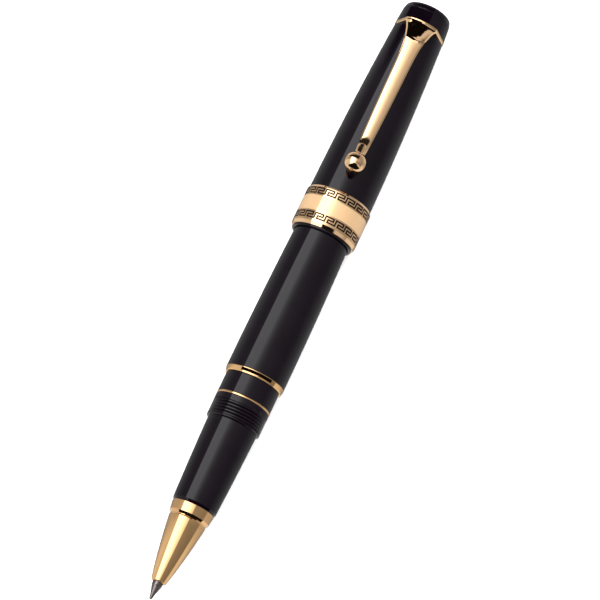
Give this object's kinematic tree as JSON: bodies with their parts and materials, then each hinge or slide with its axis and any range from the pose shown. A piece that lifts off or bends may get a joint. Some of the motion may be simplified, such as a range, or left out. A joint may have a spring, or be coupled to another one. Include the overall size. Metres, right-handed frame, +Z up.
{
  "type": "rollerball pen",
  "caption": "Posted rollerball pen: tapered black resin barrel, threaded grip section with metal nose cone, patterned cap band, flared ball-ended clip.",
  "frame": {"origin": "centre of the box the pen fills, on the surface it lies on (lowest point of the cap band)", "axes": "+X along the pen from the writing tip to the crown, +Z up through the clip, +Y to the side"},
  "size_m": [0.1524, 0.0156, 0.0204],
  "materials": {
    "black_resin": "hand-polished cast resin",
    "gold_plate": "mirror-polished rose gold plate on brass",
    "dark_enamel": "dark fired enamel, polished level with the band",
    "liner_plastic": "moulded, satin",
    "coupling_brass": "turned, unplated",
    "tip_steel": "fine turned",
    "refill_plastic": "moulded",
    "refill_metal": "drawn tube, satin",
    "ink_fibre": "ink-soaked fibre",
    "spring_wire": "drawn wire",
    "carbide": "ground and polished"
  },
  "bodies": {
    "barrel": {"barrel_tube": "black_resin", "barrel_ring": "gold_plate", "barrel_bush": "coupling_brass", "refill_spring": "spring_wire"},
    "refill": {"refill_tip": "tip_steel", "refill_nose": "refill_plastic", "refill_tube": "refill_metal", "refill_reservoir": "ink_fibre", "refill_end_plug": "refill_plastic"},
    "writing_ball": {"writing_ball": "carbide"},
    "section": {"nose_cone": "gold_plate", "nose_ring": "gold_plate", "grip_section": "black_resin", "thread_collar": "black_resin", "collar_ring": "gold_plate", "spacer_sleeve": "black_resin", "section_nipple": "coupling_brass"},
    "cap": {"cap_shell": "black_resin", "cap_band": "gold_plate", "band_meander_lower": "dark_enamel", "band_meander_upper": "dark_enamel", "cap_liner": "liner_plastic", "crown_screw": "coupling_brass", "cap_crown": "black_resin", "clip_washer": "gold_plate"},
    "clip": {"clip_blade": "gold_plate", "clip_ball": "gold_plate"}
  },
  "joints": [
    {"name": "cap_pull", "type": "slide", "parent": "barrel", "child": "cap", "axis": [1, 0, 0], "range_m": [0, 0.06]},
    {"name": "clip_flex", "type": "hinge", "parent": "cap", "child": "clip", "pos_m": [0.07022, 0, 0.01635], "axis": [0, 1, 0], "range_deg": [0, 4], "stiffness_Nm_per_rad": 1.5, "springref_deg": -1.15},
    {"name": "refill_advance", "type": "slide", "parent": "barrel", "child": "refill", "axis": [-1, 0, 0], "range_m": [0, 0.0066], "deforming": ["refill_spring"]},
    {"name": "section_unscrew", "type": "hinge", "parent": "refill", "child": "section", "pos_m": [0, 0, 0.00785], "axis": [-1, 0, 0], "range_deg": [0, 2340]},
    {"name": "ball_roll", "type": "hinge", "parent": "refill", "child": "writing_ball", "pos_m": [-0.07593, 0, 0.00785], "axis": [0, 1, 0], "continuous": true}
  ],
  "couplings": [
    {"joint": "refill_advance", "follows": "section_unscrew", "m_per_rad": 0.00015915}
  ]
}
